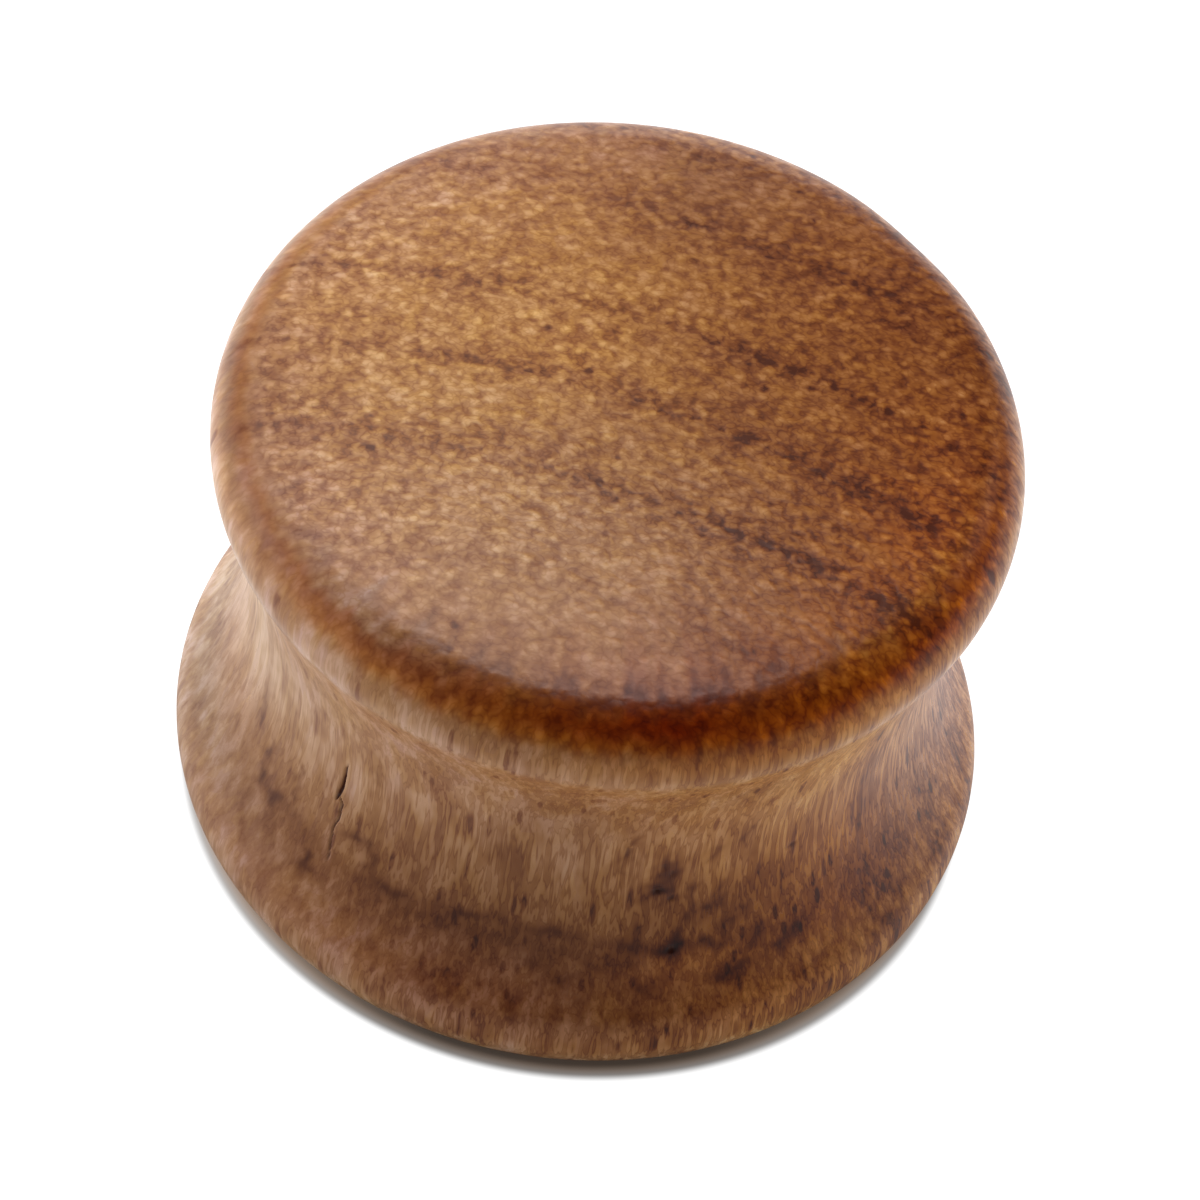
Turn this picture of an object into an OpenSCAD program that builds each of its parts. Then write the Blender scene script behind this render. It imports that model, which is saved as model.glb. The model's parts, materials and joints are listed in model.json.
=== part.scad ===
// Solid wooden double-flared ear plug, turned in one piece from one billet.
// It stands on its flat back face with its axis along Z, and the middle of
// that face is the origin. Sizes are in millimetres.

/* [Fit] */
// Gauge of the plug: its diameter at the waist, where the ear lobe sits
waist_d = 19; // [14:0.5:30]
// How far each flare stands out past the waist, measured along the radius
flare_lip = 1.6; // [1:0.1:2]

/* [Form] */
// Height from the flat back face to the crown of the front face
plug_h = 16.5; // [14:0.5:20]
// Radius of the rounded edge of each flare
rim_r = 1.8; // [1:0.1:2.2]
// Rise of the domed front face above the top of its rounded edge
dome_rise = 0.8; // [0.3:0.1:1.2]

/* [Hidden] */
// Facets of a full circle in a preview
$fn = 180;
// Arcs that run into one another overlap by this much, so that they always cross
seam = 0.002;

waist_r = waist_d / 2;
flare_r = waist_r + flare_lip;

// The section of each rounded edge is a circle about one of these two points
foot_r = flare_r - rim_r;
back_edge = [foot_r, rim_r];
front_edge = [foot_r, plug_h - dome_rise - rim_r];
// The waist and the dome both pass this far from the middle of a rounded edge
join_r = rim_r - seam;

// The waist is a hollow arc that runs smoothly into both rounded edges
half_span = (front_edge.y - back_edge.y) / 2;
hollow_r = ((rim_r - flare_lip)^2 + half_span^2 - join_r^2) / (2 * (flare_lip - seam));
hollow = [waist_r + hollow_r, back_edge.y + half_span];

// The front face is a shallow dome that runs smoothly into its rounded edge
crown_h = plug_h - front_edge.y;
dome_r = (foot_r^2 + crown_h^2 - join_r^2) / (2 * (crown_h - join_r));
dome = [0, plug_h - dome_r];

// Point at distance r from one point in the direction of another
function towards(from, to, r) = from + r * (to - from) / norm(to - from);

// Where the arcs of the section run into one another
back_join = towards(back_edge, hollow, join_r);
front_join = towards(front_edge, hollow, join_r);
dome_join = towards(dome, front_edge, dome_r);

// Half of the plug's section, with the axis along the left side
module half_section() {
    difference() {
        union() {
            polygon([[0, 0], [foot_r, 0], back_join, front_join, dome_join, [0, dome_join.y]]);
            for (edge = [back_edge, front_edge])
                translate(edge) circle(rim_r);
            intersection() {
                translate(dome) circle(dome_r);
                translate([0, front_edge.y]) square([dome_join.x, crown_h]);
            }
        }
        translate(hollow) circle(hollow_r);
    }
}

// The whole plug: both flares, the waist between them and the domed face
module plug() {
    color([0.60, 0.38, 0.21])
        rotate_extrude() half_section();
}

plug();
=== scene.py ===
import json
import math
import bpy
import numpy as np
from mathutils import Matrix, Vector


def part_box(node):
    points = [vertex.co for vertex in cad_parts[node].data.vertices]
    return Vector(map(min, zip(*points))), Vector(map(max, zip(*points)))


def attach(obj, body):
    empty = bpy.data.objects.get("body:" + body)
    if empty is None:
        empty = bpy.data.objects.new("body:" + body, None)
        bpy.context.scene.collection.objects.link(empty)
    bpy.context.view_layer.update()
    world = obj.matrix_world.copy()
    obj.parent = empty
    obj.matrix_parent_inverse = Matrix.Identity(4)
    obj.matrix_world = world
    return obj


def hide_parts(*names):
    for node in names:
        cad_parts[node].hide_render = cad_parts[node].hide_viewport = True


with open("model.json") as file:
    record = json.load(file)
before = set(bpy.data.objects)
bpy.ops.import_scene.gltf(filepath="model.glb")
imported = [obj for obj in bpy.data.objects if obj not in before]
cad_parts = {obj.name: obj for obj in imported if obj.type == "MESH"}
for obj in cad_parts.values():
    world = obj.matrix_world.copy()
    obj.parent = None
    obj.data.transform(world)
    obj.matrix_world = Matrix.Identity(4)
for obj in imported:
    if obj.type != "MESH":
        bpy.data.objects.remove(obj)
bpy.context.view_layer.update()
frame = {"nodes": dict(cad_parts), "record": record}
print("frame loaded:", ", ".join(frame["nodes"]))

mm = 0.001  # one millimetre in scene units

# The turned plug. Lengths are in millimetres, angles in degrees.
# Azimuth 0 faces the camera and grows towards the right, height runs up from the back face.
turnedPlug = {
    "edgeRadius": 1.8,  # rounded edge of both flares
    "columns": 470,  # steps round the axis
    "rows": {"backFace": 10, "backEdge": 20, "waist": 120, "frontEdge": 24, "dome": 34},
    # where the steps round the axis are closer: azimuth, half width, times closer
    "fineAzimuths": [(0.0, 55.0, 1.7), (-38.7, 1.8, 4.0), (20.0, 4.0, 1.5)],
    "fineHeights": [(6.4, 2.6, 1.7)],  # the same up the waist: height, half width, times closer

    "unevenness": 0.035,  # how far hand sanding left the surface from a true circle
    # its slow waves: share, lobes round the plug, twist in radians for each millimetre up, start
    "lobes": [(1.0, 2, 0.0, 0.7), (0.7, 3, -0.11, 2.0), (0.5, 5, 0.35, 0.0)],
    "flat": {"azimuth": 138.5, "halfWidth": 8.0, "depth": 0.08},  # flat spot on the front edge
    # the crack that opened along the grain at the waist, from the top down: azimuth, height, width, depth
    "checks": [
        [(-38.5, 8.12, 0.03, 0.03), (-38.9, 7.75, 0.11, 0.12), (-39.0, 7.2, 0.15, 0.18),
         (-39.3, 6.72, 0.16, 0.18), (-39.7, 6.46, 0.10, 0.14), (-39.9, 6.30, 0.02, 0.02)],
        [(-39.3, 6.66, 0.06, 0.10), (-38.3, 6.42, 0.09, 0.10), (-38.1, 5.93, 0.07, 0.10),
         (-38.6, 5.40, 0.08, 0.07), (-38.0, 4.93, 0.07, 0.08), (-37.5, 4.49, 0.06, 0.06),
         (-37.2, 4.15, 0.02, 0.01)],
    ],
    "checkJag": [(0.06, 11.0, 0.0)],  # its small jags: degrees, radians for each millimetre up, start
    "pits": [  # azimuth, height, width, tallness, depth
        (20.5, 4.66, 0.30, 0.26, 0.09), (17.6, 6.82, 0.38, 0.34, 0.09), (20.0, 6.45, 0.20, 0.34, 0.08),
        (18.2, 7.80, 0.20, 0.50, 0.06), (19.8, 7.45, 0.20, 0.40, 0.06), (11.6, 8.60, 0.14, 0.80, 0.05),
        (41.7, 7.22, 0.16, 0.22, 0.08),
    ],

    "underFlare": 0.45,  # share of the end grain that shows where the front flare faces down
    "lowerFlare": 0.78,  # and everywhere below the middle of the waist
    "tints": {  # red, green and blue of the side and then of the face
        "left": ((1.25, 1.43, 2.00), (1.45, 1.80, 2.05)),
        "right": ((1.18, 1.01, 0.60), (0.80, 0.64, 0.47)),
    },
    "tintReach": 9.0,  # how far left and right of the axis they are reached
    "faceFrom": {"slope": (0.3, 0.8), "height": (13.0, 14.5)},  # the side's tint becomes the face's
    "darkPowers": (1, 1.5, 2.2),  # powers of the shade for red, green and blue where it darkens the wood
    "lightPowers": (1, 1.5, 2.4),  # and where it lightens it
    "paintedLightAndToneByHeight": [  # how light the wood is at each height, mostly painted light and shade
        # darker low on the waist, which faces up under the front flare, and on top of the front edge
        # lighter where the surface faces down to the white table: the back edge, the upper waist, under the
        # front edge;
        (0.0, 1.06), (1.8, 1.14), (2.5, 1.16), (3.2, 1.06), (3.9, 0.92), (4.6, 0.84), (5.3, 0.88),
        (6.0, 0.94), (6.7, 1.04), (7.5, 1.15), (8.2, 1.23), (10.0, 1.31), (12.0, 1.36), (13.8, 1.33),
        (14.4, 1.42), (14.9, 1.10), (15.3, 0.88), (15.6, 0.90), (15.8, 1.0), (16.5, 1.0),
    ],
    # painted shade and sheen round the rounded front edge: height, half height, azimuths with their tints
    # darkest and reddest where the edge faces the camera, and lighter where a tint is over 1
    "edgeShadeAndSheenBands": [
        (15.32, 0.55, [
            (-110, (0.88, 0.80, 1.0)), (-80, (0.76, 0.68, 0.98)), (-60, (0.84, 0.74, 1.2)),
            (-44, (0.77, 0.63, 0.92)), (-30, (0.62, 0.44, 0.52)), (-10, (0.56, 0.28, 0.10)),
            (15, (0.58, 0.13, 0.01)), (38, (1.06, 0.69, 0.19)), (46, (1.32, 1.04, 0.42)),
            (54, (1.47, 1.21, 0.57)), (75, (1.52, 1.12, 0.5)), (110, (1.0, 1.0, 1.0)),
        ]),
        (14.92, 0.25, [
            (-110, (0.74, 0.80, 0.9)), (-80, (0.76, 0.80, 0.86)), (-60, (0.86, 0.84, 0.74)),
            (-40, (1.04, 0.92, 0.75)), (-20, (1.18, 1.0, 0.65)), (0, (1.25, 1.05, 0.4)),
            (20, (1.28, 1.0, 0.35)), (40, (1.15, 0.86, 0.27)), (60, (1.08, 0.74, 0.26)),
            (80, (1.1, 1.0, 0.62)), (110, (1.0, 1.0, 1.0)),
        ]),
        (15.47, 0.13, [
            (-110, (0.95, 1.05, 1.1)), (-75, (1.05, 1.15, 1.2)), (-55, (1.12, 1.35, 1.5)),
            (-35, (1.16, 1.68, 2.5)), (-18, (1.05, 1.15, 1.5)), (0, (1.0, 1.1, 1.0)),
            (20, (0.86, 0.84, 0.85)), (40, (1.18, 1.32, 1.7)), (60, (1.08, 1.22, 1.4)),
            (110, (1.0, 1.0, 1.0)),
        ]),
        (15.62, 0.08, [
            (-70, (1.0, 1.0, 1.0)), (-45, (0.95, 1.0, 1.1)), (-20, (0.72, 0.68, 0.6)),
            (0, (0.60, 0.44, 0.18)), (20, (0.50, 0.32, 0.12)), (40, (0.75, 0.78, 0.90)),
            (60, (1.08, 1.42, 2.0)), (110, (1.0, 1.0, 1.0)),
        ]),
    ],
    # how they wander up and down: millimetres, radians for each degree of azimuth, start
    "bandWander": [(0.05, 1 / 1.9, 0.0), (0.04, 1 / 0.83, 1.0), (0.03, 2.3, 0.0)],
    "colourAndLightWashes": [  # broad colour changes, partly painted light: azimuth, height, half width, half height, tint
        # on the left and right, and painted light on the upper waist, which faces down to the white table
        # painted sheen across the front of the dome and round the back rim, painted reflection at the
        # outlines
        (-70, 8.5, 22, 4.0, (1.03, 1.16, 1.17)), (-80, 3.2, 32, 1.5, (0.80, 0.92, 1.10)),
        (2, 9.5, 12, 3.2, (0.87, 0.86, 0.86)), (52, 10.8, 18, 1.8, (1.22, 1.38, 1.40)),
        (50, 5.2, 20, 3.0, (1.08, 0.95, 0.70)), (92, 5.2, 18, 3.0, (1.28, 1.22, 1.08)),
        (-5, 3.4, 24, 1.2, (0.96, 0.84, 0.89)), (-10, 0.9, 60, 0.5, (1.16, 1.30, 1.45)),
        (20, 14.4, 40, 0.45, (1.06, 0.96, 0.76)), (30, 2.6, 14, 0.7, (1.20, 1.14, 1.10)),
        (20, 3.9, 9, 0.8, (1.15, 1.08, 1.0)), (5, 16.0, 60, 0.35, (1.09, 1.16, 1.38)),
        (180, 15.75, 70, 0.12, (1.0, 1.05, 1.30)), (20, 12.9, 10, 0.6, (1.10, 1.25, 1.35)),
        (-58, 12.9, 10, 0.6, (0.76, 0.71, 0.55)), (-102, 5.0, 14, 2.5, (1.18, 1.45, 1.60)),
        (-20, 11.4, 10, 0.9, (0.89, 0.88, 0.92)), (0, 10.2, 10, 1.2, (0.92, 0.90, 0.90)),
        (-42, 11.0, 9, 1.2, (1.06, 1.15, 1.20)), (42, 12.6, 9, 0.9, (1.04, 1.14, 1.18)),
        (62, 11.2, 9, 1.1, (1.14, 1.28, 1.34)), (60, 5.6, 9, 2.2, (0.95, 0.89, 0.78)),
        (80, 7.6, 9, 1.6, (1.12, 1.17, 1.06)), (104, 5.2, 8, 1.8, (1.28, 1.32, 1.22)),
        (30, 4.2, 14, 0.9, (1.12, 1.10, 0.90)), (42, 2.5, 9, 0.8, (1.12, 1.16, 1.18)),
        (-45, 0.9, 20, 0.5, (1.16, 1.20, 1.24)), (28, 0.9, 16, 0.5, (1.10, 1.20, 1.36)),
        (32, 14.4, 32, 0.35, (1.09, 1.02, 0.84)), (-100, 14.4, 12, 0.4, (0.84, 0.88, 0.98)),
        (-28, 4.0, 20, 0.8, (0.94, 0.91, 0.97)), (-15, 2.5, 34, 0.9, (1.0, 0.92, 0.93)),
        (52, 4.0, 14, 0.9, (1.0, 0.92, 0.76)), (-40, 5.6, 10, 0.8, (1.10, 1.17, 1.32)),
        (28, 11.4, 16, 0.9, (0.92, 0.98, 1.14)), (-22, 14.4, 26, 0.4, (0.92, 0.91, 0.87)),
        (0, 0.9, 90, 0.5, (1.06, 1.14, 1.24)), (-54, 3.2, 16, 1.3, (0.93, 0.90, 0.96)),
        (-82, 3.2, 12, 1.3, (0.90, 0.93, 1.02)), (-58, 12.9, 9, 0.6, (0.90, 0.87, 0.78)),
        (62, 11.8, 9, 1.0, (1.08, 1.12, 1.10)), (62, 13.0, 8, 0.4, (0.92, 0.86, 0.72)),
        (30, 13.3, 12, 0.5, (1.07, 1.18, 1.40)), (-30, 13.3, 12, 0.5, (1.06, 1.15, 1.28)),
        (50, 1.3, 12, 0.6, (1.18, 1.30, 1.34)),
    ],
    "faceColourAndSheenWashes": [  # the same on the face: X to the right of the axis, Y behind it, half width, tint
        # the one in front of the axis is a painted sheen
        (-1.8, 1.2, 1.9, (1.20, 1.27, 1.24)), (1.0, -4.0, 4.0, (1.06, 1.14, 1.34)),
        (1.3, 7.8, 2.4, (0.80, 0.77, 0.92)),
    ],
    "faceWashFrom": (15.6, 15.7),  # the heights between which they come in
    "stains": [  # azimuth, height, width, tallness, darkness
        (20.5, 4.66, 0.70, 0.52, 0.90), (21.2, 5.00, 0.36, 0.80, 0.64), (17.6, 6.82, 0.95, 0.80, 0.92),
        (20.0, 6.45, 0.50, 0.70, 0.60), (18.2, 7.80, 0.50, 1.10, 0.62), (19.8, 7.45, 0.44, 0.90, 0.62),
        (11.6, 8.60, 0.20, 0.90, 0.51), (11.2, 7.70, 0.22, 0.90, 0.38), (12.8, 9.16, 0.26, 0.34, 0.51),
        (26.6, 8.10, 0.32, 0.68, 0.44), (32.1, 8.60, 0.32, 0.68, 0.51), (41.7, 7.22, 0.29, 0.38, 0.63),
        (23.8, 6.70, 0.23, 0.68, 0.59), (23.4, 5.90, 0.29, 0.94, 0.51), (25.8, 5.80, 0.51, 0.61, 0.66),
        (28.5, 6.00, 0.51, 0.54, 0.59), (28.3, 6.45, 0.29, 0.68, 0.51), (29.6, 5.10, 0.58, 0.47, 0.51),
        (26.0, 4.75, 0.36, 0.54, 0.66), (28.6, 3.53, 0.80, 0.47, 0.59), (31.0, 3.66, 0.87, 0.41, 0.59),
        (35.0, 4.60, 0.43, 0.68, 0.51), (34.3, 4.20, 0.43, 0.54, 0.44), (32.8, 5.50, 0.36, 0.68, 0.51),
        (41.4, 4.10, 0.58, 0.41, 0.66), (39.1, 3.95, 0.72, 0.41, 0.59), (16.2, 3.56, 0.87, 0.54, 0.51),
        (14.8, 4.67, 0.51, 0.81, 0.51), (-56.5, 5.50, 0.22, 0.80, 0.51), (-55.7, 4.70, 0.36, 0.94, 0.59),
        (-51.4, 4.55, 0.51, 0.68, 0.66), (-48.4, 6.10, 0.22, 0.81, 0.51), (-47.6, 5.30, 0.22, 0.68, 0.51),
        (-41.2, 4.00, 0.41, 0.68, 0.66), (-40.6, 3.70, 0.43, 0.41, 0.44), (-34.2, 5.66, 0.52, 0.49, 0.66),
        (-31.5, 5.80, 0.36, 0.54, 0.51), (-30.3, 5.35, 0.43, 0.81, 0.51), (-32.0, 8.50, 0.30, 1.40, 0.28),
        (-54.0, 4.60, 1.60, 0.60, 0.26), (-46.0, 4.70, 1.60, 0.60, 0.26), (3.6, 3.76, 0.90, 0.45, 0.51),
        (-1.3, 4.20, 0.90, 0.35, 0.38), (6.2, 3.30, 0.90, 0.35, 0.38), (-8.0, 8.00, 1.30, 2.60, 0.26),
        (59.0, 7.90, 0.70, 2.40, 0.38), (30.0, 5.60, 1.60, 1.20, 0.23), (-62.0, 6.60, 0.50, 2.00, 0.32),
        (128.0, 6.30, 0.90, 1.40, 0.38), (-140.0, 5.00, 1.20, 0.70, 0.38), (-172.0, 7.10, 0.30, 1.20, 0.45),
        (-24.0, 4.50, 2.20, 0.60, 0.26), (-14.0, 4.70, 2.00, 0.70, 0.33), (-5.0, 4.80, 1.60, 0.80, 0.38),
        (2.0, 4.60, 1.80, 0.50, 0.33), (10.0, 4.30, 2.00, 0.60, 0.28), (160.0, 4.70, 1.50, 0.60, 0.32),
        (88.0, 5.10, 1.10, 0.60, 0.36), (-96.0, 7.60, 0.30, 1.50, 0.38),
    ],
    # their ragged edge: millimetres, radians for each millimetre up and for each degree of azimuth
    "stainRag": [(0.07, 5.0, 1 / 1.9), (0.05, 11.0, -1.3)],
    "line": {  # a thin dark line round the front of the waist
        "path": [(-42, 4.35), (-24, 4.9), (-10, 5.25), (-3, 5.26), (3, 5.14), (9, 4.94), (15, 4.79),
                 (21, 4.66), (33, 4.5), (50, 4.3)],  # azimuth and height
        "wander": [(0.06, 1 / 1.7, 0.0), (0.04, 1.3, 0.0), (0.02, 3.1, 0.0)],  # up and down, as the bands
        "width": 0.21, "darkness": 0.56,
        "strength": 0.64, "breaks": [(0.36, 1 / 2.1, 1.0)],  # it comes and goes by this much round the plug
        "fadeIn": 14, "fadeOut": 20,  # degrees over which its ends fade
    },
}


def bell(distance, halfWidth):
    # exp(-(distance / halfWidth)^2)
    return np.exp(-(distance / halfWidth) ** 2)


def climb(value, start, end):
    # Straight change from 0 at the start to 1 at the end, level beyond them
    return np.clip((value - start) / (end - start), 0, 1)


def ripple(place, waves):
    # Sum of size * sin(rate * place + start)
    return sum(size * np.sin(rate * place + start) for size, rate, start in waves)


def turnFrom(azimuth, middle):
    # Degrees from the middle, between -180 and 180
    return (azimuth - middle + 180) % 360 - 180


def spreadSteps(start, stop, count, fine):
    # Equal steps of the running total of a density, so the steps crowd together where it is high. It is
    # 1 + the sum of (closer - 1) * bell at each fine place.
    samples = 4001  # enough for the total to be smooth
    place = np.linspace(start, stop, samples)
    density = np.ones_like(place)
    for centre, halfWidth, closer in fine:
        density += (closer - 1) * bell(place - centre, halfWidth)
    total = np.concatenate([[0], np.cumsum((density[1:] + density[:-1]) / 2)])
    return np.interp(np.linspace(0, total[-1], count), total, place)


def plugProfile(form, flareRadius, waistRadius, waistHeight, height):
    # Half section from the middle of the back face to the crown of the dome, as radius and height, with
    # the unit normal. Four arcs touch smoothly: back edge, hollow waist, front edge and dome. The waist's
    # radius is (lip^2 + halfSpan^2) / (2 lip) - edge.
    # The dome's radius is (foot^2 + crown^2 - edge^2) / (2 (crown - edge)).
    edge = form["edgeRadius"]
    lip = flareRadius - waistRadius
    foot = flareRadius - edge
    frontHeight = 2 * waistHeight - edge
    halfSpan = waistHeight - edge
    crown = height - frontHeight
    waistArc = (lip ** 2 + halfSpan ** 2) / (2 * lip) - edge
    domeArc = (foot ** 2 + crown ** 2 - edge ** 2) / (2 * (crown - edge))
    joinAngle = math.degrees(math.atan2(halfSpan, waistRadius + waistArc - foot))
    domeAngle = math.degrees(math.atan2(domeArc - crown, foot))
    rows = form["rows"]

    faceRadius = np.linspace(0, foot, rows["backFace"] + 1)[1:-1]
    radius, level = [faceRadius], [np.zeros_like(faceRadius)]
    outR, outZ = [np.zeros_like(faceRadius)], [-np.ones_like(faceRadius)]

    def arc(centreR, centreZ, size, angles, facing=1):
        # Point at each angle is centre + size * (cos, sin), and the normal is (cos, sin) times facing
        turn = np.radians(angles)
        radius.append(centreR + size * np.cos(turn))
        level.append(centreZ + size * np.sin(turn))
        outR.append(facing * np.cos(turn))
        outZ.append(facing * np.sin(turn))

    arc(foot, edge, edge, np.linspace(-90, joinAngle, rows["backEdge"]))
    fineAngles = [(180 - math.degrees(math.asin((fineHeight - waistHeight) / waistArc)),
                   math.degrees(halfWidth / waistArc), closer)
                  for fineHeight, halfWidth, closer in form["fineHeights"]]
    arc(waistRadius + waistArc, waistHeight, waistArc,
        spreadSteps(180 + joinAngle, 180 - joinAngle, rows["waist"], fineAngles)[1:-1], facing=-1)
    arc(foot, frontHeight, edge, np.linspace(-joinAngle, domeAngle, rows["frontEdge"]))
    arc(0, height - domeArc, domeArc, np.linspace(domeAngle, 90, rows["dome"])[1:-1])
    print("profile: waist arc %.2f mm, dome arc %.2f mm" % (waistArc, domeArc))
    return [np.concatenate(part) for part in (radius, level, outR, outZ)]


def sandedDepth(azimuth, height, outR, waistHeight, form):
    # unevenness * (shares - wave) / (2 * shares), less towards both poles, where the wave is the sum of
    # share * cos(lobes * a + twist * z + start), plus depth * bell at the flat spot of the front edge
    turn = np.radians(azimuth)
    shares = sum(share for share, lobes, twist, start in form["lobes"])
    wave = sum(share * np.cos(lobes * turn + twist * height + start)
               for share, lobes, twist, start in form["lobes"])
    sanded = form["unevenness"] * (shares - wave) / (2 * shares) * np.abs(outR)
    flat = form["flat"]
    spot = bell(turnFrom(azimuth, flat["azimuth"]), flat["halfWidth"])
    return sanded + flat["depth"] * spot * (height > waistHeight) * np.clip(outR, 0, 1)


def pitDepth(azimuth, height, radius, form):
    # Each pit is a bowl, depth * (1 - q)^2 where q = (across / halfWidth)^2 + (up / halfTall)^2 is under 1
    total = np.zeros_like(azimuth)
    for pitAzimuth, pitHeight, width, tallness, depth in form["pits"]:
        across = np.radians(azimuth - pitAzimuth) * radius
        q = (across / (width / 2)) ** 2 + ((height - pitHeight) / (tallness / 2)) ** 2
        total += depth * np.clip(1 - q, 0, 1) ** 2
    return total


def checkDepth(azimuth, height, radius, form):
    # A V-shaped groove, depth * (1 - |across| / halfWidth), along a path whose azimuth, width and depth
    # are looked up by height, with small jags to the left and right
    total = np.zeros_like(azimuth)
    for path in form["checks"]:
        azimuths, heights, widths, depths = np.array(path)[::-1].T  # from the bottom up
        middle = np.interp(height, heights, azimuths) + ripple(height, form["checkJag"])
        across = np.abs(np.radians(azimuth - middle) * radius)
        halfWidth = np.interp(height, heights, widths) / 2
        depth = np.interp(height, heights, depths, left=0, right=0)
        total = np.maximum(total, depth * np.clip(1 - across / halfWidth, 0, 1))
    return total


def paintedLightAndStainShade(azimuth, height, radius, form):
    # How light the wood is: the level for the height, mostly painted light and shade, times 1 - darkness *
    # bell for each stain, whose edge is ragged, and for a thin line that is nearly level, wanders, and
    # comes and goes
    heights, levels = zip(*form["paintedLightAndToneByHeight"])
    shade = np.interp(height, heights, levels)
    ragged = sum(size * np.sin(up * height + around * azimuth)
                 for size, up, around in form["stainRag"])
    for stainAzimuth, stainHeight, width, tallness, darkness in form["stains"]:
        across = np.radians(azimuth - stainAzimuth) * radius + ragged
        apart = np.hypot(across / (width / 2), (height + ragged - stainHeight) / (tallness / 2))
        shade *= 1 - darkness * bell(apart, 1)
    line = form["line"]
    azimuths, lineHeights = zip(*line["path"])
    lineHeight = np.interp(azimuth, azimuths, lineHeights) + ripple(azimuth, line["wander"])
    ends = (climb(azimuth, azimuths[0], azimuths[0] + line["fadeIn"])
            * climb(azimuth, azimuths[-1], azimuths[-1] - line["fadeOut"]))
    strength = line["strength"] + ripple(azimuth, line["breaks"])
    return shade * (1 - line["darkness"] * ends * strength * bell(height - lineHeight, line["width"]))


def woodTintWithPaintedLight(azimuth, height, radius, slope, form):
    # Red, green and blue that multiply the wood's colour. They go from a left to a right tint along X, with
    # smooth ends, and above the waist from the side's tint to the face's with the slope of the surface.
    # Then a shade s multiplies each by its own power of s; s is the level by height, mostly painted light
    # and shade, with the stains and the line. Last, each wash of the side or the face and each band of the
    # front edge multiplies them by 1 + bell * (its own tint - 1); the bands are painted shade and sheen,
    # the washes partly painted light.
    turn = np.radians(azimuth)
    x, y = radius * np.sin(turn), -radius * np.cos(turn)
    along = climb(x, -form["tintReach"], form["tintReach"])
    along = (along * along * (3 - 2 * along))[..., None]
    left, right = (np.array(form["tints"][name]) for name in ("left", "right"))
    sideTint, faceTint = (left[k] * (1 - along) + right[k] * along for k in (0, 1))
    onFace = climb(slope, *form["faceFrom"]["slope"]) * climb(height, *form["faceFrom"]["height"])
    tintWithPaintedLight = sideTint + (faceTint - sideTint) * onFace[..., None]
    shade = paintedLightAndStainShade(azimuth, height, radius, form)[..., None]
    tintWithPaintedLight = tintWithPaintedLight * shade ** np.where(shade < 1, form["darkPowers"], form["lightPowers"])

    for washAzimuth, washHeight, halfWidth, halfTall, own in form["colourAndLightWashes"]:
        share = bell(turnFrom(azimuth, washAzimuth), halfWidth) * bell(height - washHeight, halfTall)
        tintWithPaintedLight *= 1 + share[..., None] * (np.array(own) - 1)
    onDome = climb(height, *form["faceWashFrom"])
    for washX, washY, halfWidth, own in form["faceColourAndSheenWashes"]:
        share = bell(np.hypot(x - washX, y - washY), halfWidth) * onDome
        tintWithPaintedLight *= 1 + share[..., None] * (np.array(own) - 1)
    bandRise = ripple(azimuth, form["bandWander"])
    for bandHeight, halfTall, tints in form["edgeShadeAndSheenBands"]:
        places, colours = zip(*tints)
        own = np.stack([np.interp(azimuth, places, channel) for channel in zip(*colours)], axis=-1)
        tintWithPaintedLight *= 1 + bell(height + bandRise - bandHeight, halfTall)[..., None] * (own - 1)
    return tintWithPaintedLight


def ringFaces(rows, columns):
    # Quads between neighbouring rows and columns, and a fan of triangles to each pole, all facing outwards.
    # The poles' vertices come after the grid's, first the one of the back face.
    here = np.arange(columns)
    beside = (here + 1) % columns
    row = np.arange(rows - 1)[:, None] * columns
    quads = np.stack([row + here, row + beside, row + columns + beside, row + columns + here], axis=-1)
    backPole, frontPole = rows * columns, rows * columns + 1
    last = (rows - 1) * columns
    backFan = np.stack([np.full(columns, backPole), beside, here], axis=-1)
    frontFan = np.stack([np.full(columns, frontPole), last + here, last + beside], axis=-1)
    return quads.reshape(-1, 4).tolist() + backFan.tolist() + frontFan.tolist()


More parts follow.
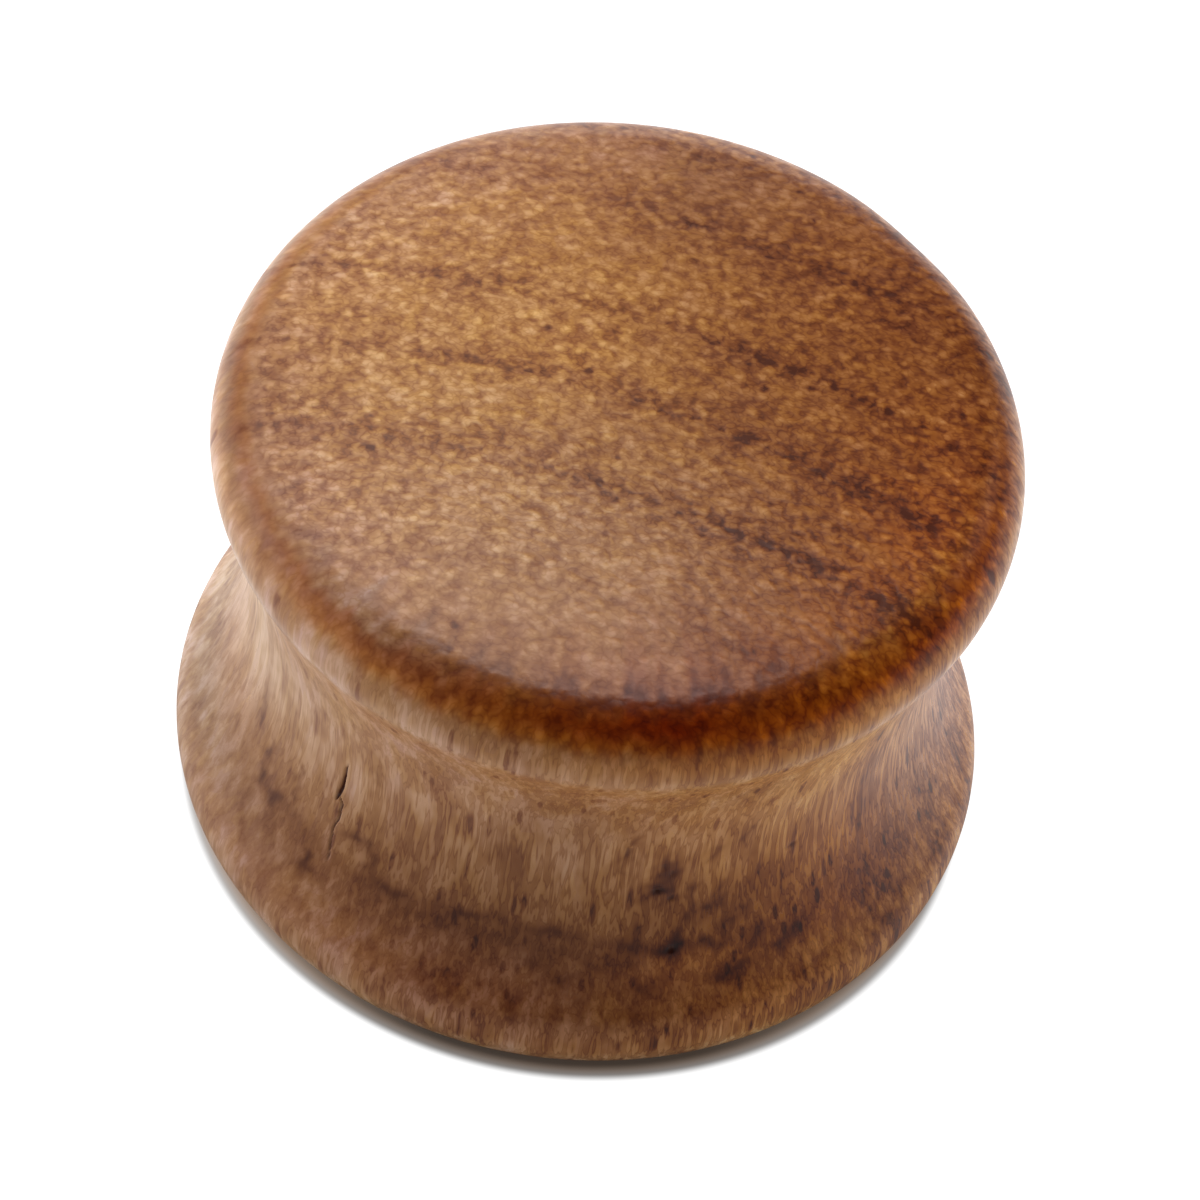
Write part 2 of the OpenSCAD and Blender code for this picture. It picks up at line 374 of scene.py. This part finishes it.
def turnPlug(form, flareRadius, waistRadius, waistHeight, height):
    # Surface of revolution with hand marks: point(row, column) = (r sin a, -r cos a, z), moved along the
    # inward normal by the sanding, the flat spot, the pits and the check
    r, z, outR, outZ = plugProfile(form, flareRadius, waistRadius, waistHeight, height)
    azimuth = spreadSteps(-180, 180, form["columns"] + 1, form["fineAzimuths"])[:-1]
    radiusGrid, azimuthGrid = np.meshgrid(r, azimuth, indexing="ij")
    heightGrid, turnGrid = np.meshgrid(z, np.radians(azimuth), indexing="ij")
    outRGrid, outZGrid = outR[:, None], outZ[:, None]

    sanded = sandedDepth(azimuthGrid, heightGrid, outRGrid, waistHeight, form)
    hollow = np.maximum(pitDepth(azimuthGrid, heightGrid, radiusGrid, form),
                        checkDepth(azimuthGrid, heightGrid, radiusGrid, form))
    radiusGrid = radiusGrid - (sanded + hollow) * outRGrid
    heightGrid = heightGrid - (sanded + hollow) * outZGrid
    grid = np.stack([radiusGrid * np.sin(turnGrid), -radiusGrid * np.cos(turnGrid), heightGrid], axis=-1)
    points = np.concatenate([grid.reshape(-1, 3), [[0, 0, 0], [0, 0, height]]]) * mm
    rows, columns = turnGrid.shape
    faces = ringFaces(rows, columns)

    mesh = bpy.data.meshes.new("turned_plug")
    mesh.from_pydata(points, [], faces)
    mesh.polygons.foreach_set("use_smooth", np.ones(len(faces), dtype=bool))

    # what the material reads: how far each point is pushed in, how much end grain shows, and the tint,
    # which holds painted light and shade as well as the wood's colour
    overhang = (outZGrid < 0) & (heightGrid > waistHeight)
    slope = np.where(overhang, -form["underFlare"] * outZGrid, np.abs(outZGrid))
    slope *= np.where(heightGrid < waistHeight, form["lowerFlare"], 1.0)
    for name, values, atPoles in (("hollow", hollow, (0, 0)), ("endGrain", slope, (1, 1))):
        mark = mesh.attributes.new(name, "FLOAT", "POINT")
        mark.data.foreach_set("value", np.concatenate([values.ravel(), atPoles]).astype(np.float32))
    tintWithPaintedLight = woodTintWithPaintedLight(azimuthGrid, heightGrid, radiusGrid, slope, form).reshape(-1, 3)
    mark = mesh.attributes.new("tintWithPaintedLight", "FLOAT_VECTOR", "POINT")
    mark.data.foreach_set("vector", np.concatenate([tintWithPaintedLight, tintWithPaintedLight[:1], tintWithPaintedLight[-1:]]).astype(np.float32).ravel())
    mesh.update()
    plug = bpy.data.objects.new("turned_plug", mesh)
    bpy.context.scene.collection.objects.link(plug)
    print("plug: %d rows, %d columns, %d faces" % (rows, columns, len(faces)))
    return plug


# The wood. Lengths are in millimetres. The fibres run along Z, so every pattern is stretched along Z.
# Where four numbers that aren't a colour stand together, something changes smoothly while a place or
# another value goes from the first number to the second: it is the third number at the first and the
# fourth at the second. Two numbers mean the same with 0 at the first and 1 at the second, if no comment
# says otherwise.
# A noise is given as waves per millimetre, detail, roughness and bend.
hardwood = {
    "fibreStretch": 0.14,  # how fast the pattern changes along the fibres, as a share
    "faceSlope": (0.12, 0.62),  # slopes of the surface at which end grain begins and is all that shows
    "broadNoise": (0.42, 2.0),  # broad light and dark zones
    "baseTone": 0.52,
    "layers": {  # the growth layers
        "tilt": 0.17,  # how far they drop for each millimetre to the right
        "bow": 0.009,  # and how much more they drop further out
        "waves": [(0.16, 0.0, 0.45), (1.9, 1.0, 0.20)],  # slow bending, ragged edge: waves, detail, height
        "reach": 12.0,  # the dark lines are placed within this distance of the axis
        "darkLines": [  # the dark end of each layer: place across the layers, width, strength
            (-6.6, 1.2, 0.30), (-3.15, 1.3, 1.00), (-0.12, 1.2, 0.85), (2.75, 1.1, 0.80),
            (6.9, 2.4, 0.55), (9.6, 1.6, 0.45),
        ],
        # how dark a line is across it: place in widths, share of its strength
        "profile": [(-0.7, 0), (-0.2, 0.34), (0.0, 1), (0.2, 0.38), (0.9, 0)],
        "byZone": (0.64, 0.36, 0.75, 1.1),  # stronger in the dark zones
        "byX": (-3.0, 5.0, 0.55, 1.0),  # weaker on the left
        "onSide": 0.35,  # how strong they are on the side, as a share
        "depth": (0.35, 0.65, 0.46, 0.33),  # how dark they are, by the fine noise
    },
    "flecks": {  # light grains and thin dark winding lines on the end grain
        "fineNoise": (2.7, 1.0, 0.6, 0.35),
        "fine": (0.30, 0.70, -0.20, 0.20),  # how light, by the fine noise
        "cellScale": 3.1,  # light grains per millimetre
        "cellStretch": (0.80, 1.08),  # they are drawn out a little along X: scale along X and along Y
        "cells": (0.62, 0.12, -0.17, 0.19),  # how light, by the distance from the grain's middle
        "windingNoise": (4.8, 1.0, 0.6),
        "winding": (0.0, 0.12, -0.15, 0.06),  # by how far the winding noise is from its middle
    },
    "streaks": {  # where the fibres lie along the surface
        "stretch": 0.065,
        "noise": (7.5, 1.0, 0.65),
        "broad": (0.32, 0.68, -0.11, 0.11),  # how light, by the noise
        "middle": 0.48,  # thin dark lines lie where the noise is near this
        "lines": (0.0, 0.07, -0.16, 0.05),  # by how far it is from there
        "dashScale": 3.2,  # open vessels, dark dashes along the fibres: how many per millimetre across them
        "dashStretch": 0.11,
        "dashSize": (0.36, 0.20),  # by the distance from the dash's middle
        "dashDepth": (0.60, 0.20, 0.0, 0.38),  # by a chance of its own
        "byHeight": (7.5, 10.5, 1.0, 0.65),  # fainter up the waist
    },
    "mottle": {  # patches of light and dark
        "stretch": 0.45,
        "noise": (1.3, 2.0, 0.6),
        "patches": (0.30, 0.70, -0.13, 0.13),  # how light, by the noise
        "onFace": 0.35,  # how strong they are on the face, as a share
        "byHeight": (6.0, 3.5, 1.0, 1.5),  # stronger down the lower flare
        "zones": (0.3, 0.7, -0.05, 0.05),  # and how light, by the broad noise
    },
    "contrast": {  # of the flecks and streaks
        "byX": (-1.0, 9.0, 0.62, 0.86),
        "domeFront": (-8.0, -4.0, 0.62, 0.95),  # on the dome, by Y
        "domeBack": (3.0, 9.0, 1.0, 0.8),
        "side": (-9.5, -1.0, 0.62, 1.4),  # on the side, by X
        "frontEdge": (14.3, 15.0, 1.0, 0.68),  # and by height
        "domeSlope": (0.975, 0.86),  # the slopes between which the dome's contrast becomes the side's
    },
    "pores": {  # small dark dots at the end of the fibres
        "scale": 1.65,  # cells per millimetre that may hold one
        "stretch": 0.22,
        "nearLines": 1.1,  # how likely one is on a dark line
        "onSide": 0.08,  # and how much more likely on the side
        "shown": (0.11, 0.04),  # by how far its chance is over what is likely there
        "size": (0.30, 0.10),  # by the distance from the pore's middle
        "depth": 0.26,
    },
    "tones": [  # colour of each tone
        (0.00, (0.080, 0.018, 0.005)),
        (0.25, (0.200, 0.058, 0.014)),
        (0.50, (0.335, 0.130, 0.034)),
        (0.75, (0.480, 0.225, 0.080)),
        (1.00, (0.680, 0.400, 0.190)),
    ],
    "hues": {  # each grain and patch lies between a warmer and a cooler tint
        "warm": (1.05, 1.04, 0.88, 1), "cool": (0.95, 0.93, 1.08, 1),
        "grainShare": 0.5,  # how much of it is each grain's own
        "byPatch": (0.35, 0.65, 0.0, 0.5),  # and how much the patch's
    },
    # painted shade inside the check and the pits, growing with depth and full from this depth
    "hollow": {"depth": 0.09, "colour": (0.110, 0.030, 0.014, 1)},
    "bump": {"cells": -0.7, "strength": 0.6, "depth": 0.022},  # the wood is lower between the grains
    "roughness": (0.2, 0.8, 0.36, 0.27),  # dark wood is duller
    "gloss": 0.18,
}


def addNode(tree, kind, inputs=None, **settings):
    node = tree.nodes.new("ShaderNode" + kind)
    for name, value in settings.items():
        setattr(node, name, value)
    for name, value in (inputs or {}).items():
        if isinstance(value, bpy.types.NodeSocket):
            tree.links.new(value, node.inputs[name])
        else:
            node.inputs[name].default_value = value
    return node


def sums(tree, operation, *values, clamp=False):
    node = addNode(tree, "Math", dict(enumerate(values)), operation=operation, use_clamp=clamp)
    return node.outputs[0]


def plus(tree, first, second):
    return sums(tree, "ADD", first, second)


def less(tree, first, second):
    return sums(tree, "SUBTRACT", first, second)


def times(tree, first, second):
    return sums(tree, "MULTIPLY", first, second)


def fade(tree, value, low, high, toLow=0.0, toHigh=1.0):
    # Smooth change from toLow to toHigh while the value goes from low to high
    node = addNode(tree, "MapRange", {0: value, 1: low, 2: high, 3: toLow, 4: toHigh},
                   interpolation_type="SMOOTHSTEP")
    return node.outputs[0]


def blendColours(tree, factor, first, second, mode="MIX"):
    # Sockets 6 and 7 take the two colours, and socket 2 gives the blend
    node = addNode(tree, "Mix", {0: factor, 6: first, 7: second}, data_type="RGBA", blend_type=mode)
    return node.outputs[2]


def ramp(tree, value, stops):
    node = addNode(tree, "ValToRGB", {0: value})
    points = node.color_ramp.elements
    while len(points) < len(stops):
        points.new(0.5)  # each gets its place below
    for point, (place, colour) in zip(points, stops):
        point.position = place
        point.color = (*colour, 1)
    return node.outputs[0]


def stretched(tree, coords, scale):
    return addNode(tree, "Mapping", {"Vector": coords, "Scale": scale}).outputs[0]


def noise(tree, coords, scale, detail, roughness=0.5, bend=0.0):
    node = addNode(tree, "TexNoise", {"Vector": coords, "Scale": scale, "Detail": detail,
                                      "Roughness": roughness, "Distortion": bend})
    return node.outputs[0]


noiseMiddle = 0.5  # a noise lies mostly near this, between 0 and 1


def fromMiddle(tree, value, middle=noiseMiddle):
    return sums(tree, "ABSOLUTE", less(tree, value, middle))


def growthLines(tree, along, axes, broad, onFace, layers):
    # Place across the layers = y + tilt * x + bow * x^2 + slow waves + ragged edge. A ramp has a peak at
    # the place of each line. It is multiplied by one value for the zone, one for X and one for the slope.
    bowed = times(tree, times(tree, axes[0], axes[0]), layers["bow"])
    across = plus(tree, sums(tree, "MULTIPLY_ADD", axes[0], layers["tilt"], axes[1]), bowed)
    for scale, detail, height in layers["waves"]:
        wave = less(tree, noise(tree, along, scale, detail), noiseMiddle)
        across = plus(tree, across, times(tree, wave, height))
    reach = layers["reach"]
    stops = [(0.0, (0, 0, 0))]
    for middle, width, strength in layers["darkLines"]:
        for step, level in layers["profile"]:
            stops.append(((middle + step * width + reach) / (2 * reach), (level * strength,) * 3))
    layerPlace = addNode(tree, "MapRange", {0: across, 1: -reach, 2: reach, 3: 0.0, 4: 1.0}).outputs[0]
    dark = ramp(tree, layerPlace, stops)
    dark = times(tree, dark, fade(tree, broad, *layers["byZone"]))
    dark = times(tree, dark, fade(tree, axes[0], *layers["byX"]))
    return times(tree, dark, fade(tree, onFace, 0.0, 1.0, layers["onSide"], 1.0))


def endGrainFlecks(tree, coords, cell, fine, flecks):
    # Winding lines where a noise is near its middle + grains that darken outwards + a fine noise
    winding = fromMiddle(tree, noise(tree, coords, *flecks["windingNoise"]))
    fleck = plus(tree, fade(tree, winding, *flecks["winding"]),
                 fade(tree, cell["Distance"], *flecks["cells"]))
    return plus(tree, fleck, fade(tree, fine, *flecks["fine"]))


def fibreStreaks(tree, inMm, axes, streaks):
    # Broad streaks of a stretched noise + thin lines where it is near its middle - open vessels, which are
    # dashes in some of the cells of a stretched pattern
    streak = noise(tree, stretched(tree, inMm, (1, 1, streaks["stretch"])), *streaks["noise"])
    lines = fade(tree, fromMiddle(tree, streak, streaks["middle"]), *streaks["lines"])
    tone = plus(tree, fade(tree, streak, *streaks["broad"]), lines)
    dashCoords = stretched(tree, inMm, (1, 1, streaks["dashStretch"]))
    cell = addNode(tree, "TexVoronoi", {"Vector": dashCoords, "Scale": streaks["dashScale"]}).outputs
    chance = addNode(tree, "SeparateColor", {0: cell["Color"]}).outputs[1]
    dash = times(tree, fade(tree, cell["Distance"], *streaks["dashSize"]),
                 fade(tree, chance, *streaks["dashDepth"]))
    return times(tree, less(tree, tone, dash), fade(tree, axes[2], *streaks["byHeight"]))


def mottling(tree, patch, broad, axes, onFace, mottle):
    # Patches, fainter on the face and stronger on the lower flare, + broad zones
    blotch = fade(tree, patch, *mottle["patches"])
    blotch = times(tree, blotch, fade(tree, onFace, 0.0, 1.0, 1.0, mottle["onFace"]))
    blotch = times(tree, blotch, fade(tree, axes[2], *mottle["byHeight"]))
    return plus(tree, blotch, fade(tree, broad, *mottle["zones"]))


def grainContrast(tree, axes, endGrain, contrast):
    # Contrast by X times that of the dome or of the side, whichever the slope says
    onDome = times(tree, fade(tree, axes[1], *contrast["domeFront"]),
                   fade(tree, axes[1], *contrast["domeBack"]))
    onSide = times(tree, fade(tree, axes[0], *contrast["side"]),
                   fade(tree, axes[2], *contrast["frontEdge"]))
    byZone = fade(tree, endGrain, *contrast["domeSlope"], onDome, onSide)
    return times(tree, fade(tree, axes[0], *contrast["byX"]), byZone)


def poreDots(tree, inMm, dark, onFace, pores):
    # A dot in the middle of each cell whose chance is under a limit, which is higher on the dark lines
    poreCoords = stretched(tree, inMm, (1, 1, pores["stretch"]))
    cell = addNode(tree, "TexVoronoi", {"Vector": poreCoords, "Scale": pores["scale"]}).outputs
    chance = addNode(tree, "SeparateColor", {0: cell["Color"]}).outputs[0]
    likely = plus(tree, times(tree, dark, pores["nearLines"]),
                  fade(tree, onFace, 0.0, 1.0, pores["onSide"], 0.0))
    shown = fade(tree, less(tree, chance, likely), *pores["shown"])
    return times(tree, fade(tree, cell["Distance"], *pores["size"]), shown)


def makeHardwood(name, wood):
    # Tone = base + grain * contrast + mottling - dark lines - pores. The colour of that tone is multiplied
    # by the surface's tint, which holds painted light and shade as well as the wood's colour, and by the
    # hue of the grain.
    # The check and the pits get painted shade by their depth.
    material = bpy.data.materials.new(name)
    material.use_nodes = True
    tree = material.node_tree
    shader = tree.nodes["Principled BSDF"]
    place = addNode(tree, "TexCoord").outputs["Object"]
    inMm = stretched(tree, place, (1 / mm, 1 / mm, 1 / mm))
    along = stretched(tree, inMm, (1, 1, wood["fibreStretch"]))
    axes = addNode(tree, "SeparateXYZ", {0: inMm}).outputs
    endGrain, hollow = (addNode(tree, "Attribute", attribute_name=mark).outputs["Fac"]
                        for mark in ("endGrain", "hollow"))
    # the tint holds painted light and shade as well as the wood's colour
    tintWithPaintedLight = addNode(tree, "Attribute", attribute_name="tintWithPaintedLight").outputs["Vector"]
    onFace = fade(tree, endGrain, *wood["faceSlope"])

    flecks, mottle, bump = wood["flecks"], wood["mottle"], wood["bump"]
    broad = noise(tree, along, *wood["broadNoise"])
    fine = noise(tree, along, *flecks["fineNoise"])
    patch = noise(tree, stretched(tree, inMm, (1, 1, mottle["stretch"])), *mottle["noise"])
    cellCoords = stretched(tree, inMm, (*flecks["cellStretch"], wood["fibreStretch"]))
    cell = addNode(tree, "TexVoronoi", {"Vector": cellCoords, "Scale": flecks["cellScale"]}).outputs

    fleck = endGrainFlecks(tree, cellCoords, cell, fine, flecks)
    streaks = fibreStreaks(tree, inMm, axes, wood["streaks"])
    grain = plus(tree, streaks, times(tree, onFace, less(tree, fleck, streaks)))
    contrast = grainContrast(tree, axes, endGrain, wood["contrast"])
    tone = sums(tree, "MULTIPLY_ADD", grain, contrast, wood["baseTone"])
    tone = plus(tree, tone, mottling(tree, patch, broad, axes, onFace, mottle))
    dark = growthLines(tree, along, axes, broad, onFace, wood["layers"])
    tone = less(tree, tone, times(tree, dark, fade(tree, fine, *wood["layers"]["depth"])))
    pores = poreDots(tree, inMm, dark, onFace, wood["pores"])
    tone = less(tree, tone, times(tree, pores, wood["pores"]["depth"]))

    hues = wood["hues"]
    grainHue = addNode(tree, "SeparateColor", {0: cell["Color"]}).outputs[0]
    hue = sums(tree, "MULTIPLY_ADD", grainHue, hues["grainShare"], fade(tree, patch, *hues["byPatch"]))
    hueTint = blendColours(tree, hue, hues["warm"], hues["cool"])
    colour = blendColours(tree, 1.0, ramp(tree, tone, wood["tones"]), tintWithPaintedLight, "MULTIPLY")
    colour = blendColours(tree, 1.0, colour, hueTint, "MULTIPLY")
    # painted shade in the check and the pits, by their depth
    hollowShade = fade(tree, hollow, 0.0, wood["hollow"]["depth"])
    colour = blendColours(tree, hollowShade, colour, wood["hollow"]["colour"])

    relief = addNode(tree, "Bump", {
        "Strength": bump["strength"], "Distance": bump["depth"] * mm,
        "Height": sums(tree, "MULTIPLY_ADD", cell["Distance"], bump["cells"], fine),
    }).outputs[0]
    tree.links.new(colour, shader.inputs["Base Color"])
    tree.links.new(fade(tree, tone, *wood["roughness"]), shader.inputs["Roughness"])
    tree.links.new(relief, shader.inputs["Normal"])
    shader.inputs["Specular IOR Level"].default_value = wood["gloss"]
    print("material:", name, len(tree.nodes), "nodes")
    return material


seat = next(m for m in frame["record"]["mounts"] if m["name"] == "lobe_seat")
low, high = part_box("plug")
plug = turnPlug(turnedPlug, flareRadius=(high.x - low.x) / 2 / mm, waistRadius=seat["dims"]["r_mm"],
                waistHeight=seat["pos_m"][2] / mm, height=high.z / mm)
plug.data.materials.append(makeHardwood("turned_hardwood", hardwood))
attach(plug, "root")
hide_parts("plug")

# The studio: a white table that glows and shows a painted shadow round the plug, daylight from behind on
# the left, and little else. Lengths are in metres.
# Four numbers together mean the same as in the wood.
white = (1, 1, 1, 1)
studio = {
    "table": {
        "size": 3.0,
        "colour": 0.20,  # how light its paint is
        "glow": (0.65, 1.31),  # light that the burnt-out white throws up, in front of the plug and behind
        "glowTurn": (0.85, -0.05),  # cosines of the azimuth at which the glow is the first and the second
        "glowFrom": (0.0098, 0.0145),  # it throws none inside the first radius and all outside the second
        "axisGap": 0.0001,  # no cosine is worked out nearer to the axis than this
        "white": 1.05,  # how bright the table looks to the camera
        "whiteFrom": (0.01065, 0.01095),  # painted shadow inside the first radius, white outside the second
        "paintedShadowLeft": (-0.010, -0.002, 0.22, 0.035),  # how bright the painted shadow looks, by X on the left
        "paintedShadowRight": (0.004, 0.010, 0.0, 0.09),  # how much brighter the painted shadow is by X on the right
        "paintedShadowOut": (0.0103, 0.01075, 0.0, 0.17),  # how much brighter the painted shadow is by the radius
        "widerRight": (0.002, 0.008, 0.0, 0.00007),  # how much wider the painted shadow is by X on the right
        "paintedShadowColour": (1.28, 0.965, 0.755, 1),  # the painted shadow is warm with painted light from the wood
        "colourFrom": (0.0104, 0.0108),  # the radii between which that colour becomes white
    },
    "world": {"dim": 0.02, "white": 1.2},  # how bright the world is to the plug and to the camera
    "softboxes": [  # name, azimuth, elevation, distance, width, height, brightness, colour
        ("windowTop", -142, 63, 0.60, 0.244, 0.15, 9.1, (1.0, 1.0, 1.0)),
        ("windowHigh", -120, 47, 0.60, 0.288, 0.17, 5.2, (1.0, 1.0, 1.0)),
        ("windowMiddle", -135, 30, 0.60, 0.22, 0.17, 3.25, (1.0, 1.0, 1.0)),
        ("windowLow", -95, 12, 0.60, 0.27, 0.20, 4.6, (1.0, 1.0, 1.0)),
        ("backTop", 175, 73, 0.60, 0.244, 0.15, 9.4, (0.96, 0.98, 1.0)),
        ("backMiddle", -160, 30, 0.60, 0.22, 0.17, 5.0, (0.90, 0.94, 1.0)),
        ("backLow", 180, 12, 0.60, 0.27, 0.20, 3.6, (0.90, 0.94, 1.0)),
        ("rightFill", 125, 30, 0.60, 0.22, 0.17, 2.5, (1.0, 0.97, 0.92)),
    ],
}


def aimed(azimuth, elevation):
    # Unit vector from the object: azimuth 0 is towards the camera side, -Y, and grows towards +X
    a, e = math.radians(azimuth), math.radians(elevation)
    return Vector((math.sin(a) * math.cos(e), -math.cos(a) * math.cos(e), math.sin(e)))


def tableGlow(tree, fromAxis, axes, setup):
    # The glow grows from the front round to the back, with the cosine of the azimuth, -y / distance
    distance = sums(tree, "MAXIMUM", fromAxis, setup["axisGap"])
    cosine = sums(tree, "DIVIDE", times(tree, axes[1], -1.0), distance)
    return times(tree, fade(tree, cosine, *setup["glowTurn"], *setup["glow"]),
                 fade(tree, fromAxis, *setup["glowFrom"]))


def tableWithPaintedShadow(tree, shadowRing, axes, setup):
    # The painted shadow's brightness is a sum of changes by X and by radius, and beyond it the table is
    # white
    dark = plus(tree, fade(tree, axes[0], *setup["paintedShadowLeft"]), fade(tree, axes[0], *setup["paintedShadowRight"]))
    dark = plus(tree, dark, fade(tree, shadowRing, *setup["paintedShadowOut"]))
    return fade(tree, shadowRing, *setup["whiteFrom"], dark, setup["white"])


def makeTable(setup):
    half = setup["size"] / 2
    corners = [(-half, -half, 0), (half, -half, 0), (half, half, 0), (-half, half, 0)]
    mesh = bpy.data.meshes.new("table")
    mesh.from_pydata(corners, [], [(0, 1, 2, 3)])
    table = bpy.data.objects.new("table", mesh)
    bpy.context.scene.collection.objects.link(table)

    # the table's material glows and paints a shadow ring round the plug for the camera
    material = bpy.data.materials.new("table_glow_and_painted_shadow")
    material.use_nodes = True
    tree = material.node_tree
    tree.nodes.remove(tree.nodes["Principled BSDF"])
    paint = addNode(tree, "BsdfDiffuse", {"Color": (*(setup["colour"],) * 3, 1)})
    place = addNode(tree, "TexCoord").outputs["Object"]
    axes = addNode(tree, "SeparateXYZ", {0: place}).outputs
    fromAxis = addNode(tree, "VectorMath", {0: place}, operation="LENGTH").outputs["Value"]
    # the radius used for the painted shadow ring, which is wider on the right
    shadowRing = less(tree, fromAxis, fade(tree, axes[0], *setup["widerRight"]))
    seen = addNode(tree, "LightPath").outputs["Is Camera Ray"]
    glow, look = tableGlow(tree, fromAxis, axes, setup), tableWithPaintedShadow(tree, shadowRing, axes, setup)
    # the camera sees the white table with the painted shadow, all else gets the glow
    strength = addNode(tree, "Mix", {0: seen, 2: glow, 3: look}).outputs[0]  # 2 and 3 take plain numbers
    # the painted shadow turns warm near the plug, as painted light from the wood
    warmth = sums(tree, "SUBTRACT", seen, fade(tree, shadowRing, *setup["colourFrom"]), clamp=True)
    colour = blendColours(tree, warmth, white, setup["paintedShadowColour"])
    light = addNode(tree, "Emission", {"Color": colour, "Strength": strength})
    both = addNode(tree, "AddShader", {0: paint.outputs[0], 1: light.outputs[0]})
    tree.links.new(both.outputs[0], tree.nodes["Material Output"].inputs["Surface"])
    mesh.materials.append(material)


def makeSoftbox(name, azimuth, elevation, distance, width, height, brightness, colour):
    # An area light's power is brightness * pi * area
    data = bpy.data.lights.new(name, "AREA")
    data.shape = "RECTANGLE"
    data.size, data.size_y = width, height
    data.energy = brightness * math.pi * width * height
    data.color = colour
    lamp = bpy.data.objects.new(name, data)
    direction = aimed(azimuth, elevation)
    lamp.location = direction * distance
    lamp.rotation_euler = direction.to_track_quat("Z", "Y").to_euler()
    lamp.visible_camera = False
    bpy.context.scene.collection.objects.link(lamp)


def makeWorld(setup):
    # White to the camera, dim to everything else
    world = bpy.data.worlds.new("studio")
    world.use_nodes = True
    bpy.context.scene.world = world
    tree = world.node_tree
    seen = addNode(tree, "LightPath").outputs["Is Camera Ray"]
    strength = fade(tree, seen, 0.0, 1.0, setup["dim"], setup["white"])
    tree.links.new(strength, tree.nodes["Background"].inputs["Strength"])
    tree.nodes["Background"].inputs["Color"].default_value = white


makeTable(studio["table"])
for softbox in studio["softboxes"]:
    makeSoftbox(*softbox)
makeWorld(studio["world"])
print("studio: %d softboxes" % len(studio["softboxes"]))

# The camera at the photograph's viewing angle, a long lens from far off
photoView = {
    "aim": (0.000127, 0.0, 0.00745),
    "distance": 0.444,
    "elevation": 51.75,
    "roll": 8.82,
    "lens": 486.4,
    "sensor": 36,  # its width in millimetres, as the lens
    "clip": (0.01, 10),
}


def makeCamera(view):
    data = bpy.data.cameras.new("photo_view")
    data.lens = view["lens"]
    data.sensor_width = view["sensor"]
    data.clip_start, data.clip_end = view["clip"]
    camera = bpy.data.objects.new("photo_view", data)
    back = aimed(0, view["elevation"])
    side = Vector((1, 0, 0))
    up = back.cross(side)
    roll = math.radians(view["roll"])
    right = math.cos(roll) * side + math.sin(roll) * up
    above = math.cos(roll) * up - math.sin(roll) * side
    camera.location = Vector(view["aim"]) + back * view["distance"]
    camera.rotation_euler = Matrix((right, above, back)).transposed().to_euler()
    bpy.context.scene.collection.objects.link(camera)
    bpy.context.scene.camera = camera


makeCamera(photoView)
bpy.context.scene.view_settings.view_transform = "Standard"
print("camera placed")
